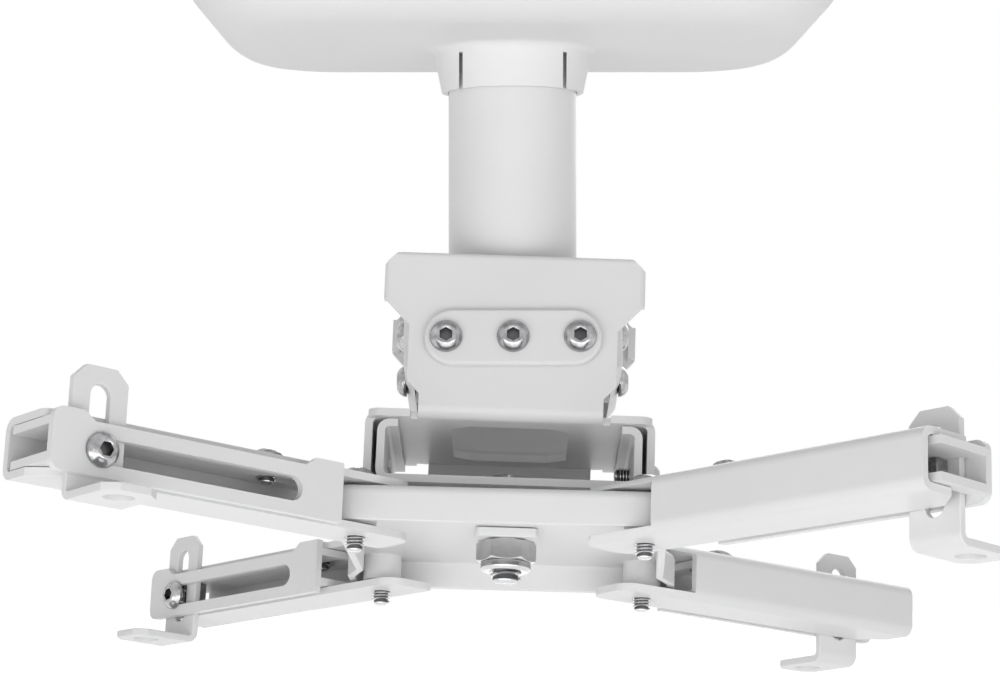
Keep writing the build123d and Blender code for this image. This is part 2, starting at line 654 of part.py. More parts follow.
def arm_channel():
    """Arm: folded channel whose flanges run on as two tongues that clasp the hub."""
    section = [
        (ARM_OPEN_Y, ARM_HALF_Z), (ARM_WEB_Y, ARM_HALF_Z),
        (ARM_WEB_Y, -ARM_HALF_Z), (ARM_OPEN_Y, -ARM_HALF_Z),
    ]
    half_length = (ARM_LENGTH + ARM_TONGUE) / 2
    channel = folded(section, ARM_BEND_R, ARM_T, half_length)
    middle_x = (ARM_LENGTH - ARM_TONGUE) / 2
    channel = Pos(middle_x, 0, 0) * Rot(0, 0, 90) * Rot(90, 0, 0) * channel
    plan = Pos(middle_x, (ARM_OPEN_Y + ARM_WEB_Y) / 2) * Rectangle(2 * half_length, ARM_OPEN_Y - ARM_WEB_Y)
    plan = fillet(plan.vertices().sort_by(Axis.X)[:2], ARM_TONGUE_R)
    plan = fillet(plan.vertices().sort_by(Axis.X)[-1:], ARM_END_R)
    channel &= Pos(0, 0, -ARM_HALF_Z) * extrude(plan, 2 * ARM_HALF_Z)
    throat_x = ARM_WEB_START + ARM_TONGUE + 1
    throat = Box(throat_x, 3 * ARM_OPEN_Y, 2 * (ARM_HALF_Z - ARM_T))
    channel -= Pos(ARM_WEB_START - throat_x / 2, ARM_WEB_Y, 0) * throat
    cut_side = ARM_CORNER_CUT * sqrt(2)
    corner = Rot(0, 0, 45) * Box(cut_side, cut_side, 3 * ARM_T)
    channel -= Pos(ARM_LENGTH, ARM_OPEN_Y, -ARM_HALF_Z) * corner
    channel -= cylinder_along("Z", HOLE_D, (0, 0, 0), ARM_HALF_Z + 1)
    channel -= cylinder_along("Z", TAPPED_D, (0, 0, -ARM_HALF_Z - 1), ARM_HALF_Z)
    return channel - cylinder_along("Z", TAPPED_D, (ARM_LOCK_X, 0, 0), ARM_HALF_Z + 1)


def bar_lock_screw():
    """Screw through the arm's top flange that locks the sliding bar."""
    length = ARM_HALF_Z - LOCK_TIP_Z
    return Pos(ARM_LOCK_X, 0, ARM_HALF_Z) * button_screw(length)


def bar_face():
    """Sketch of the bar's face: full height at both ends, lowered between, one long slot."""
    low = -BAR_HALF_Z
    cut = RAIL_HALF_Z
    outline = make_face(
        Polyline(
            (BAR_START, low), (BAR_END, low), (BAR_END, BAR_HALF_Z), (BAR_END - BAR_EAR, BAR_HALF_Z),
            (BAR_END - BAR_EAR - BAR_CORNER_R, cut), (BAR_START + BAR_EAR + BAR_CORNER_R, cut),
            (BAR_START + BAR_EAR, BAR_HALF_Z), (BAR_START, BAR_HALF_Z), close=True,
        )
    )
    round_off = [v for v in outline.vertices() if abs(v.X - BAR_END) < 0.01]
    outline = fillet(round_off, BAR_CORNER_R)
    slot = SlotOverall(BAR_SLOT_END - BAR_SLOT_START + BAR_SLOT_WIDTH, BAR_SLOT_WIDTH)
    return outline - Pos((BAR_SLOT_START + BAR_SLOT_END) / 2, FOOT_SCREW_Z) * slot


def slide_bar():
    """Sliding bar: slotted face with a top rail and two lower lugs that run inside the arm."""
    face = extrude(Plane.XZ.offset(-BAR_FACE_Y) * bar_face(), BAR_T)
    depth = BAR_FACE_Y - BAR_T - BAR_BACK_Y
    middle_y = BAR_BACK_Y + depth / 2
    flange = Pos((BAR_START + BAR_END) / 2, middle_y, 0) * Box(BAR_END - BAR_START, depth, BAR_T)
    path_x = (BAR_SLOT_START + BAR_SLOT_END) / 2
    path_length = BAR_SLOT_END - BAR_SLOT_START + FOOT_WIDTH + 2 * RUNNING_GAP
    tab_path = Box(path_length, FOOT_T + 2 * RUNNING_GAP, 2 * BAR_T)
    rail = flange - Pos(path_x, FOOT_Y + FOOT_T / 2, 0) * tab_path
    lock_slot = SlotOverall(BAR_TRAVEL + HOLE_D, HOLE_D)
    rail -= extrude(Pos(ARM_LOCK_X - BAR_TRAVEL / 2, 0, -BAR_T) * lock_slot, 2 * BAR_T)
    lugs = flange - Pos(path_x, middle_y, 0) * Box(path_length, 2 * depth, 2 * BAR_T)
    rail_z = RAIL_HALF_Z - BAR_T / 2
    return face + Pos(0, 0, rail_z) * rail + Pos(0, 0, -rail_z) * lugs


def foot_screw():
    """Button screw through the bar's slot and the foot, with its nut behind as one clamp."""
    length = BAR_T + RUNNING_GAP + FOOT_T + RUNNING_GAP + NUT_H + 2
    return Pos(0, BAR_FACE_Y, 0) * facing("Y", 1) * button_screw(length)


def foot_nut():
    """Nut behind the foot, kept from turning by the bar's rail above and the arm's flange below."""
    low = -RAIL_HALF_Z - FOOT_SCREW_Z
    high = RAIL_HALF_Z - BAR_T - RUNNING_GAP - FOOT_SCREW_Z
    block = Pos(0, -(low + high) / 2) * Rectangle(NUT_AF, high - low)
    nut = extrude(block - Circle(TAPPED_D / 2), NUT_H)
    return Pos(0, FOOT_Y - RUNNING_GAP - NUT_H, 0) * facing("Y", 1) * nut


def foot_bracket():
    """Foot: slotted upright with cut top corners, folded forward to a holed pad at the bottom."""
    back = FOOT_Y
    front = back + FOOT_REACH
    strip = folded(
        [(back, FOOT_TOP), (back, FOOT_BOTTOM), (front, FOOT_BOTTOM)],
        FOOT_BEND_R, FOOT_T, FOOT_WIDTH / 2,
    )
    foot = Rot(0, 0, 90) * Rot(90, 0, 0) * strip
    trimmed = chamfer(foot.edges().filter_by(Axis.Y).sort_by(Axis.Z)[-2:], FOOT_CHAMFER)
    trimmed = chamfer(trimmed.edges().filter_by(Axis.Z).sort_by(Axis.Y)[-2:], FOOT_CHAMFER)
    slot = SlotOverall(FOOT_TRAVEL + HOLE_D, HOLE_D, rotation=90)
    slot_cut = extrude(Plane.XZ.offset(-front) * Pos(0, FOOT_TRAVEL / 2) * slot, FOOT_REACH + 1)
    hole_at = (0, back + FOOT_HOLE_Y, FOOT_BOTTOM - 1)
    return trimmed - slot_cut - cylinder_along("Z", FOOT_HOLE_D, hole_at, FOOT_T + 2)


def write_node(name, solids):
    """Write one named piece, or one group of like fasteners, as a STEP file."""
    shape = solids if not isinstance(solids, list) else Compound(children=solids)
    export_step(shape, f"parts/{name}.step")


def placed(frame, shape):
    """Piece, or list of like pieces, moved from its own frame to the mount's frame."""
    if isinstance(shape, list):
        return [frame * piece for piece in shape]
    return frame * shape


def build():
    """Every node of the mount by name, set in the mount's frame."""
    lock_z = PIVOT_Z - LOCK_R
    nodes = {
        "ceiling_plate": ceiling_plate(),
        "ceiling_cover": ceiling_cover(),
        "pole": pole(),
        "pole_yoke": pole_yoke(),
        "pitch_pivot_screws": pitch_screws(PIVOT_Z),
        "pitch_lock_screws": pitch_screws(lock_z),
        "pitch_nuts": pitch_nuts(),
        "tilt_frame": placed(TILT, tilt_frame()),
        "front_clamp_plate": placed(TILT, clamp_plate(-1)),
        "rear_clamp_plate": placed(TILT, clamp_plate(1)),
        "front_roll_screws": placed(TILT, roll_screws(-1)),
        "rear_roll_screws": placed(TILT, roll_screws(1)),
        "roll_bracket": placed(ROLLED, roll_bracket()),
        "hanger_bracket": placed(ROLLED, hanger_bracket()),
        "hanger_lock_screw": placed(ROLLED, hanger_lock_screw()),
        "center_bolt": placed(ROLLED, center_bolt()),
        "hub_spacer": placed(ROLLED, hub_spacer()),
        "square_washer": placed(ROLLED, square_washer()),
        "hub_nut": placed(ROLLED, hub_nut()),
        "lock_collar": placed(ROLLED, lock_collar()),
        "hub": placed(HUB, hub()),
    }
    channel = arm_channel()
    lock_screw = bar_lock_screw()
    bar = slide_bar()
    screw = foot_screw()
    nut = foot_nut()
    foot = foot_bracket()
    pivots = pivot_screws()
    for name in ARM_NAMES:
        nodes[f"{name}_arm"] = placed(arm_frame(name), channel)
        nodes[f"{name}_pivot_screw"] = pivots[name]
        nodes[f"{name}_bar_lock_screw"] = placed(arm_frame(name), lock_screw)
        nodes[f"{name}_bar"] = placed(bar_frame(name), bar)
        nodes[f"{name}_foot_screw"] = placed(carriage_frame(name), screw)
        nodes[f"{name}_foot_nut"] = placed(carriage_frame(name), nut)
        nodes[f"{name}_foot"] = placed(foot_frame(name), foot)
    return nodes


os.makedirs("parts", exist_ok=True)
for node_name, node_shape in build().items():
    write_node(node_name, node_shape)
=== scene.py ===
"""Projector ceiling mount: finishes, soft sheet edges and threaded screws round its CAD frame.

Sizes are in metres, angles in degrees and the lens in millimetres.
"""
import json
import logging
import math
from dataclasses import dataclass, field
from enum import Enum, IntEnum

import bmesh
import bpy
from mathutils import Matrix, Vector


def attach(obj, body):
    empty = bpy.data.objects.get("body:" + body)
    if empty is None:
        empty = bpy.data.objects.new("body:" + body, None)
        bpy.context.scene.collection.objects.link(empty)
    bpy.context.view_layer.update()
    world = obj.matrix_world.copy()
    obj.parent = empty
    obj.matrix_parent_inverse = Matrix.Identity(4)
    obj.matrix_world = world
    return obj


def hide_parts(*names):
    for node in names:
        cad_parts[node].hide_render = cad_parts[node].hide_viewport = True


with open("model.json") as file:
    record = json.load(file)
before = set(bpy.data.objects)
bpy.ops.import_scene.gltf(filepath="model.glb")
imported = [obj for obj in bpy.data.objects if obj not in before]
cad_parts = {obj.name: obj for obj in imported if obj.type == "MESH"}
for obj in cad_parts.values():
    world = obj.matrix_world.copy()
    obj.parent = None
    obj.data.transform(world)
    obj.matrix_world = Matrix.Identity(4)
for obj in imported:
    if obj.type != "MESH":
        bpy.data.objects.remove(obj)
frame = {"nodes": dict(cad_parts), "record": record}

LOG = logging.getLogger("ceiling_mount")
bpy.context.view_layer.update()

UP = Vector((0, 0, 1))
ACROSS = Vector((1, 0, 0))
WHITE = (1.0, 1.0, 1.0, 1.0)
HEX_SIDES = 6

# Points closer than this are one, and faces that turn less than this are one.
WELD = 1e-6
FLAT_WITHIN = 0.5
# Faces that turn more than this meet in a crease.
CREASE_ABOVE = 50.0
ROLL_STEPS = 2
# Points farther out than this share of a screw's radius belong to its head.
HEAD_SHARE = 0.85

FINE_DETAIL = 3.0
FINE_ROUGHNESS = 0.55
BROAD_DETAIL = 4.0


class Slot(Enum):
    """Material slots of the mount's record."""

    POWDER_COAT = "powder_coat"
    MOULDED_WHITE = "moulded_white"
    BRIGHT_ZINC = "bright_zinc"


class Corner(Enum):
    """The mount's four arms."""

    FRONT_RIGHT = "front_right"
    REAR_RIGHT = "rear_right"
    REAR_LEFT = "rear_left"
    FRONT_LEFT = "front_left"


class Face(IntEnum):
    """Material numbers of a screw's faces."""

    HEAD = 0
    # Painted shade: sockets and thread roots take the darker zinc.
    SHADED = 1
    RIDGE = 2


def grain_group() -> bpy.types.NodeTree:
    """Node group for the fine relief of a coat or a moulded skin.

    Returns:
        Group with Vector, Scale and Broad Scale inputs and Height and Mask outputs.
    """
    tree = bpy.data.node_groups.new("Fine Grain", "ShaderNodeTree")
    face = tree.interface
    face.new_socket("Vector", in_out="INPUT", socket_type="NodeSocketVector")
    for name in ("Scale", "Broad Scale"):
        face.new_socket(name, in_out="INPUT", socket_type="NodeSocketFloat")
    for name in ("Height", "Mask"):
        face.new_socket(name, in_out="OUTPUT", socket_type="NodeSocketFloat")
    nodes, links = tree.nodes, tree.links
    inlet = nodes.new("NodeGroupInput")
    outlet = nodes.new("NodeGroupOutput")
    fine = nodes.new("ShaderNodeTexNoise")
    fine.inputs["Detail"].default_value = FINE_DETAIL
    fine.inputs["Roughness"].default_value = FINE_ROUGHNESS
    broad = nodes.new("ShaderNodeTexNoise")
    broad.inputs["Detail"].default_value = BROAD_DETAIL
    links.new(inlet.outputs["Vector"], fine.inputs["Vector"])
    links.new(inlet.outputs["Vector"], broad.inputs["Vector"])
    links.new(inlet.outputs["Scale"], fine.inputs["Scale"])
    links.new(inlet.outputs["Broad Scale"], broad.inputs["Scale"])
    links.new(fine.outputs["Fac"], outlet.inputs["Height"])
    links.new(broad.outputs["Fac"], outlet.inputs["Mask"])
    return tree


@dataclass(frozen=True)
class Finish:
    """A surface: two near tones, a range of roughness and a fine relief.

    Args:
        name: Name of the material.
        slot: Slot of the record that it belongs to; not used.
        dark: Darker tone, linear.
        light: Lighter tone, linear.
        smooth: Lowest roughness.
        rough: Highest roughness.
        grain: Fine relief's scale, per metre.
        drift: Slow change's scale, per metre.
        depth: Height of the relief.
        relief: Strength of the relief.
        metallic: Share of metal.
    """

    name: str
    slot: Slot
    dark: tuple[float, float, float]
    light: tuple[float, float, float]
    smooth: float
    rough: float
    grain: float
    drift: float
    depth: float
    relief: float
    metallic: float = 0.0

    def material(self, grain: bpy.types.NodeTree) -> bpy.types.Material:
        """Build the finish as a node material.

        Args:
            grain: The shared relief group.

        Returns:
            The material.
        """
        made = bpy.data.materials.new(self.name)
        made.use_nodes = True
        nodes, links = made.node_tree.nodes, made.node_tree.links
        shader = nodes["Principled BSDF"]
        shader.inputs["Metallic"].default_value = self.metallic
        place = nodes.new("ShaderNodeTexCoord")
        relief = nodes.new("ShaderNodeGroup")
        relief.node_tree = grain
        relief.inputs["Scale"].default_value = self.grain
        relief.inputs["Broad Scale"].default_value = self.drift
        links.new(place.outputs["Object"], relief.inputs["Vector"])
        tone = nodes.new("ShaderNodeMix")
        tone.data_type = "RGBA"
        tone.inputs["A"].default_value = (*self.dark, 1.0)
        tone.inputs["B"].default_value = (*self.light, 1.0)
        links.new(relief.outputs["Mask"], tone.inputs["Factor"])
        links.new(tone.outputs["Result"], shader.inputs["Base Color"])
        gloss = nodes.new("ShaderNodeMapRange")
        gloss.inputs["To Min"].default_value = self.smooth
        gloss.inputs["To Max"].default_value = self.rough
        links.new(relief.outputs["Mask"], gloss.inputs["Value"])
        links.new(gloss.outputs["Result"], shader.inputs["Roughness"])
        bump = nodes.new("ShaderNodeBump")
        bump.inputs["Strength"].default_value = self.relief
        bump.inputs["Distance"].default_value = self.depth
        links.new(relief.outputs["Height"], bump.inputs["Height"])
        links.new(bump.outputs["Normal"], shader.inputs["Normal"])
        return made


POWDER_COAT = Finish(
    "powder_coat", Slot.POWDER_COAT, (0.74, 0.74, 0.745), (0.80, 0.80, 0.80),
    smooth=0.34, rough=0.46, grain=1500.0, drift=28.0, depth=0.00012, relief=0.22,
)
MOULDED_SKIN = Finish(
    "moulded_skin", Slot.MOULDED_WHITE, (0.78, 0.78, 0.785), (0.84, 0.84, 0.84),
    smooth=0.52, rough=0.64, grain=3200.0, drift=18.0, depth=0.00006, relief=0.20,
)
# Painted reflection: the zinc's dark and light patches lie far apart in tone and stand in for
# the room mirrored in the polished heads.
BRIGHT_ZINC = Finish(
    "bright_zinc", Slot.BRIGHT_ZINC, (0.10, 0.10, 0.105), (0.66, 0.66, 0.67),
    smooth=0.12, rough=0.30, grain=2600.0, drift=420.0, depth=0.00003, relief=0.12,
    metallic=1.0,
)
# Lighter tone of the hub's nut, its locking ring and the threads' crests.
NUT_ZINC = Finish(
    "nut_zinc", Slot.BRIGHT_ZINC, (0.40, 0.40, 0.405), (0.72, 0.72, 0.73),
    smooth=0.13, rough=0.25, grain=2600.0, drift=160.0, depth=0.00003, relief=0.10,
    metallic=1.0,
)
# Painted shade: a darker zinc tone painted into the sockets and onto the shanks between the
# threads, where little light falls.
SHADED_ZINC = Finish(
    "shaded_zinc", Slot.BRIGHT_ZINC, (0.05, 0.05, 0.052), (0.16, 0.16, 0.165),
    smooth=0.30, rough=0.50, grain=2600.0, drift=420.0, depth=0.00003, relief=0.12,
    metallic=1.0,
)
# In the order of Face.
SCREW_FINISHES = (BRIGHT_ZINC, SHADED_ZINC, NUT_ZINC)


@dataclass
class Workshop:
    """Turns finished meshes into named pieces that ride on the mount's bodies."""

    grain: bpy.types.NodeTree
    bodies: dict[str, str] = field(default_factory=dict)
    materials: dict[str, bpy.types.Material] = field(default_factory=dict)

    def __post_init__(self) -> None:
        """Note which body carries each CAD node."""
        for body, nodes in frame["record"]["behaviour"]["bodies"].items():
            for node in nodes:
                self.bodies[node] = body

    def surface(self, finish: Finish) -> bpy.types.Material:
        """Material of a finish, built once.

        Args:
            finish: The finish.

        Returns:
            Its material.
        """
        if finish.name not in self.materials:
            self.materials[finish.name] = finish.material(self.grain)
        return self.materials[finish.name]

    def stand_in(
        self, node: str, shape: bmesh.types.BMesh, *finishes: Finish,
    ) -> bpy.types.Object:
        """Make a piece that stands for a CAD node and moves with its body.

        Args:
            node: The CAD node.
            shape: The piece's mesh, which is freed.
            finishes: Its surfaces, in the order of its faces' material numbers.

        Returns:
            The piece.
        """
        mesh = bpy.data.meshes.new(f"{node}_piece")
        shape.to_mesh(mesh)
        shape.free()
        mesh.shade_smooth()
        mesh.set_sharp_from_angle(angle=math.radians(CREASE_ABOVE))
        for finish in finishes:
            mesh.materials.append(self.surface(finish))
        piece = bpy.data.objects.new(f"{node}_piece", mesh)
        bpy.context.scene.collection.objects.link(piece)
        evened = piece.modifiers.new("flat_faces", "WEIGHTED_NORMAL")
        evened.keep_sharp = True
        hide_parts(node)
        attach(piece, self.bodies[node])
        LOG.info("%s on %s: %d faces", piece.name, self.bodies[node], len(mesh.polygons))
        return piece


def merged_copy(node: str) -> bmesh.types.BMesh:
    """Copy of a CAD node's mesh with its triangles joined and flat faces made whole.

    Args:
        node: The CAD node.

    Returns:
        The copy.
    """
    shape = bmesh.new()
    shape.from_mesh(frame["nodes"][node].data)
    bmesh.ops.remove_doubles(shape, verts=shape.verts[:], dist=WELD)
    bmesh.ops.dissolve_limit(
        shape, angle_limit=math.radians(FLAT_WITHIN), use_dissolve_boundaries=False,
        verts=shape.verts[:], edges=shape.edges[:], delimit={"NORMAL"},
    )
    return shape


def roll_edges(
    shape: bmesh.types.BMesh, edges: list[bmesh.types.BMEdge], width: float,
) -> None:
    """Roll hard edges over.

    Args:
        shape: Mesh that the edges belong to.
        edges: The edges.
        width: Distance from an edge at which the rolling starts.
    """
    bmesh.ops.bevel(
        shape, geom=edges, offset=width, offset_type="OFFSET", affect="EDGES",
        segments=ROLL_STEPS, profile=0.5, material=-1, clamp_overlap=True,
    )


def turned(outline: list[tuple[float, float]], segments: int) -> bmesh.types.BMesh:
    """Turn an outline round Z.

    Args:
        outline: Radii and heights, from the lower end up.
        segments: Steps round the axis.

    Returns:
        The turned mesh.
    """
    shape = bmesh.new()
    points = [shape.verts.new((radius, 0.0, height)) for radius, height in outline]
    edges = [shape.edges.new(pair) for pair in zip(points, points[1:])]
    bmesh.ops.spin(
        shape, geom=points + edges, cent=(0, 0, 0), axis=UP, angle=math.tau,
        steps=segments, use_merge=True,
    )
    bmesh.ops.remove_doubles(shape, verts=shape.verts[:], dist=WELD)
    bmesh.ops.recalc_face_normals(shape, faces=shape.faces[:])
    return shape


def edges_among(
    shape: bmesh.types.BMesh, verts: list[bmesh.types.BMVert],
) -> list[bmesh.types.BMEdge]:
    """Edges that join some of a mesh's points, in the mesh's own order.

    Args:
        shape: The mesh.
        verts: The points.

    Returns:
        The edges.
    """
    chosen = set(verts)
    return [edge for edge in shape.edges if chosen.issuperset(edge.verts)]


def hexagon_radius(flats: float) -> float:
    """Radius to a hexagon's corners, from its width across flats."""
    return flats / 2 / math.cos(math.pi / HEX_SIDES)


@dataclass
class SheetPiece:
    """A CAD node with its hard edges rolled over, as paint or moulding leaves them."""

    node: str
    finish: Finish = POWDER_COAT
    edge: float = 0.00045
    sharp: float = 38.0

    def build(self, shop: Workshop) -> bpy.types.Object:
        """Soften the node's edges and put the piece in its place.

        Args:
            shop: The workshop.

        Returns:
            The piece.
        """
        shape = merged_copy(self.node)
        limit = math.radians(self.sharp)
        hard = [
            edge for edge in shape.edges
            if edge.is_manifold and edge.calc_face_angle() > limit
        ]
        roll_edges(shape, hard, self.edge)
        return shop.stand_in(self.node, shape, self.finish)


@dataclass
class Thread:
    """Right-hand ridge round a screw's shank, with its half widths as shares of the pitch."""

    diameter: float
    pitch: float
    depth: float
    steps: int = 24
    foot: float = 0.42
    land: float = 0.15
    sink: float = 0.00005

    def core(self) -> float:
        """Radius under the ridge."""
        return self.diameter / 2 - self.depth

    def paint_shade(self, shape: bmesh.types.BMesh, top: float, bottom: float) -> None:
        """Paint shade onto a shank between its ends and give its tip the crests' lighter tone.

        Args:
            shape: Mesh of the screw.
            top: Height at which the thread ends.
            bottom: Height at which it starts, above the tip.
        """
        for face in shape.faces:
            height = face.calc_center_median().z
            if height < bottom:
                face.material_index = Face.RIDGE
            # Painted shade on the shank between the thread's ridges.
            elif height < top:
                face.material_index = Face.SHADED

    def wind(self, shape: bmesh.types.BMesh, top: float, bottom: float) -> None:
        """Wind the ridge up a shank on Z.

        Args:
            shape: Mesh that gets the ridge.
            top: Height below which it ends.
            bottom: Height at which it starts.
        """
        self.paint_shade(shape, top, bottom)
        shank = set(shape.faces)
        turns = int((top - bottom) / self.pitch) - 1
        root = self.core() - self.sink
        crest = self.diameter / 2
        profile = [
            (root, self.foot), (crest, self.land), (crest, -self.land), (root, -self.foot),
        ]
        ring = [
            shape.verts.new((radius, 0.0, bottom + (share + 0.5) * self.pitch))
            for radius, share in profile
        ]
        edges = [shape.edges.new(pair) for pair in zip(ring, ring[1:] + ring[:1])]
        shape.faces.new(ring)
        swept = bmesh.ops.spin(
            shape, geom=ring + edges, cent=(0, 0, 0), axis=UP, angle=turns * math.tau,
            steps=turns * self.steps, dvec=(0, 0, self.pitch / self.steps), use_merge=False,
        )
        last = [item for item in swept["geom_last"] if isinstance(item, bmesh.types.BMEdge)]
        bmesh.ops.edgeloop_fill(shape, edges=last)
        ridge = [face for face in shape.faces if face not in shank]
        bmesh.ops.recalc_face_normals(shape, faces=ridge)
        for face in ridge:
            face.material_index = Face.RIDGE


@dataclass
class ScrewSite:
    """Place of one screw: the point under its head, the way the head points and the shank."""

    seat: Vector
    way: Vector
    length: float

    def matrix(self) -> Matrix:
        """Placing of a screw that is drawn with its head up on Z."""
        turn = UP.rotation_difference(self.way).to_matrix().to_4x4()
        return Matrix.Translation(self.seat) @ turn


def islands(shape: bmesh.types.BMesh) -> list[list[Vector]]:
    """Points of each separate solid in a mesh.

    Args:
        shape: The mesh.

    Returns:
        One list of points for each solid.
    """
    left = set(shape.verts)
    found = []
    for seed in shape.verts:
        if seed not in left:
            continue
        left.remove(seed)
        front = [seed]
        points = []
        while front:
            vert = front.pop()
            points.append(vert.co.copy())
            for edge in vert.link_edges:
                other = edge.other_vert(vert)
                if other in left:
                    left.remove(other)
                    front.append(other)
        found.append(points)
    return found


def screw_sites(node: str, axis: Vector, head_height: float) -> list[ScrewSite]:
    """Places of the screws in a CAD node, taken from its solids.

    Args:
        node: The CAD node.
        axis: Direction that all its screws lie along.
        head_height: Height of a head.

    Returns:
        One site for each screw.
    """
    shape = merged_copy(node)
    turn = UP.rotation_difference(axis).to_matrix()
    back = turn.inverted()
    sites = []
    for points in islands(shape):
        local = [back @ point for point in points]
        low = Vector([min(p[i] for p in local) for i in range(3)])
        high = Vector([max(p[i] for p in local) for i in range(3)])
        middle = (low + high) / 2
        reach = (high.x - low.x) / 2
        head = [p.z for p in local if (p.xy - middle.xy).length > HEAD_SHARE * reach]
        up = 1.0 if sum(head) / len(head) > middle.z else -1.0
        top = high.z if up > 0 else low.z
        seat = Vector((middle.x, middle.y, top - up * head_height))
        length = high.z - low.z - head_height
        sites.append(ScrewSite(turn @ seat, turn @ Vector((0, 0, up)), length))
    shape.free()
    return sites


@dataclass
class ButtonScrew:
    """Button head screw with a hexagon socket and a rolled thread.

    The crown is given as shares of the head's radius and height, from its rim to the socket.
    """

    head_d: float = 0.0105
    head_h: float = 0.0033
    head_rim: float = 0.0002
    crown: tuple[tuple[float, float], ...] = (
        (1.0, 0.24), (0.97, 0.38), (0.89, 0.60), (0.78, 0.78), (0.66, 0.91), (0.56, 0.985),
        (0.52, 1.0),
    )
    socket: float = 0.004
    socket_depth: float = 0.0020
    socket_dish: float = 0.00025
    seat_relief: float = 0.00002
    plain: float = 0.0004
    tip: float = 0.0007
    segments: int = 40
    thread: Thread = field(default_factory=lambda: Thread(0.006, 0.001, 0.00055))

    def draw(self, length: float) -> bmesh.types.BMesh:
        """Draw one screw with its head above Z=0.

        Args:
            length: Length of its shank.

        Returns:
            The screw's mesh.
        """
        core = self.thread.core()
        half = self.head_d / 2
        outline = [
            (0.0, -length), (core - self.tip, -length), (core, -length + self.tip),
            (core, self.seat_relief), (half - self.head_rim, self.seat_relief),
            (half, self.head_rim),
        ]
        outline += [(half * wide, self.head_h * high) for wide, high in self.crown]
        shape = turned(outline, self.segments)
        self.sink_socket(shape)
        bmesh.ops.recalc_face_normals(shape, faces=shape.faces[:])
        self.thread.wind(shape, -self.plain, -length + self.tip)
        return shape

    def sink_socket(self, shape: bmesh.types.BMesh) -> None:
        """Close the head's crown with a hexagon socket.

        Args:
            shape: Mesh of a screw with an open crown.
        """
        rim = [edge for edge in shape.edges if edge.is_boundary]
        corners = bmesh.ops.create_circle(
            shape, cap_ends=False, segments=HEX_SIDES, radius=hexagon_radius(self.socket),
            matrix=Matrix.Translation((0, 0, self.head_h - self.socket_dish)),
        )["verts"]
        hexagon = edges_among(shape, corners)
        bmesh.ops.bridge_loops(shape, edges=rim + hexagon)
        sunk = bmesh.ops.extrude_edge_only(shape, edges=hexagon)["geom"]
        walls = [item for item in sunk if isinstance(item, bmesh.types.BMFace)]
        floor = [item for item in sunk if isinstance(item, bmesh.types.BMVert)]
        bmesh.ops.translate(shape, verts=floor, vec=(0, 0, -self.socket_depth))
        edges = [item for item in sunk if isinstance(item, bmesh.types.BMEdge)]
        bottom = [edge for edge in edges if edge.is_boundary]
        closed = bmesh.ops.edgeloop_fill(shape, edges=bottom)["faces"]
        # Painted shade: the socket's walls and floor take the darker zinc.
        for face in closed + walls:
            face.material_index = Face.SHADED

    def build(self, shop: Workshop, node: str, axis: Vector) -> bpy.types.Object:
        """Make every screw of a CAD node as one piece.

        Args:
            shop: The workshop.
            node: The CAD node.
            axis: Direction that its screws lie along.

        Returns:
            The piece.
        """
        whole = bmesh.new()
        for site in screw_sites(node, axis, self.head_h):
            one = self.draw(site.length)
            one.transform(site.matrix())
            mesh = bpy.data.meshes.new("one_screw")
            one.to_mesh(mesh)
            one.free()
            whole.from_mesh(mesh)
            bpy.data.meshes.remove(mesh)
        return shop.stand_in(node, whole, *SCREW_FINISHES)


@dataclass
class CentreBolt:
    """Hexagon bolt with its lower length threaded."""

    flats: float = 0.017
    head_h: float = 0.0064
    head_edge: float = 0.0004
    threaded: float = 0.030
    tip: float = 0.0010
    segments: int = 48
    thread: Thread = field(default_factory=lambda: Thread(0.010, 0.0015, 0.00085, steps=32))

    def draw(self, length: float) -> bmesh.types.BMesh:
        """Draw the bolt with its head above Z=0.

        Args:
            length: Length of its shank.

        Returns:
            The bolt's mesh.
        """
        core = self.thread.core()
        half = self.thread.diameter / 2
        plain = -length + self.threaded
        # The shank ends closed, halfway up inside the head.
        outline = [
            (0.0, -length), (core - self.tip, -length), (core, -length + self.tip),
            (core, plain), (half, plain + self.tip), (half, self.head_h / 2),
            (0.0, self.head_h / 2),
        ]
        shape = turned(outline, self.segments)
        corner = hexagon_radius(self.flats)
        head = bmesh.ops.create_cone(
            shape, cap_ends=True, cap_tris=False, segments=HEX_SIDES, radius1=corner,
            radius2=corner, depth=self.head_h,
            matrix=Matrix.Translation((0, 0, self.head_h / 2)),
        )["verts"]
        roll_edges(shape, edges_among(shape, head), self.head_edge)
        bmesh.ops.recalc_face_normals(shape, faces=shape.faces[:])
        self.thread.wind(shape, plain, -length + self.tip)
        return shape

    def build(self, shop: Workshop, node: str, axis: Vector) -> bpy.types.Object:
        """Make the bolt in place of its CAD node.

        Args:
            shop: The workshop.
            node: The CAD node.
            axis: Direction that it lies along.

        Returns:
            The piece.
        """
        site = screw_sites(node, axis, self.head_h)[0]
        shape = self.draw(site.length)
        shape.transform(site.matrix())
        return shop.stand_in(node, shape, *SCREW_FINISHES)


def joint_axis(name: str) -> Vector:
    """Direction of one of the mount's joints at rest.

    Args:
        name: The joint.

    Returns:
        Its axis, of unit length.
    """
    for joint in frame["record"]["behaviour"]["joints"]:
        if joint["name"] == name:
            return Vector(joint["axis"]).normalized()
    raise KeyError(name)


@dataclass
class CeilingSet:
    """Ceiling plate, cover and pole with the yoke at its foot."""

    sheets: tuple[str, ...] = ("ceiling_plate", "pole", "pole_yoke")
    screws: tuple[str, ...] = ("pitch_pivot_screws", "pitch_lock_screws")
    cover_edge: float = 0.0003
    nut_edge: float = 0.0002

    def build(self, shop: Workshop) -> None:
        """Build the set.

        Args:
            shop: The workshop.
        """
        for node in self.sheets:
            SheetPiece(node).build(shop)
        SheetPiece("ceiling_cover", MOULDED_SKIN, self.cover_edge).build(shop)
        for node in self.screws:
            ButtonScrew().build(shop, node, ACROSS)
        SheetPiece("pitch_nuts", BRIGHT_ZINC, self.nut_edge).build(shop)


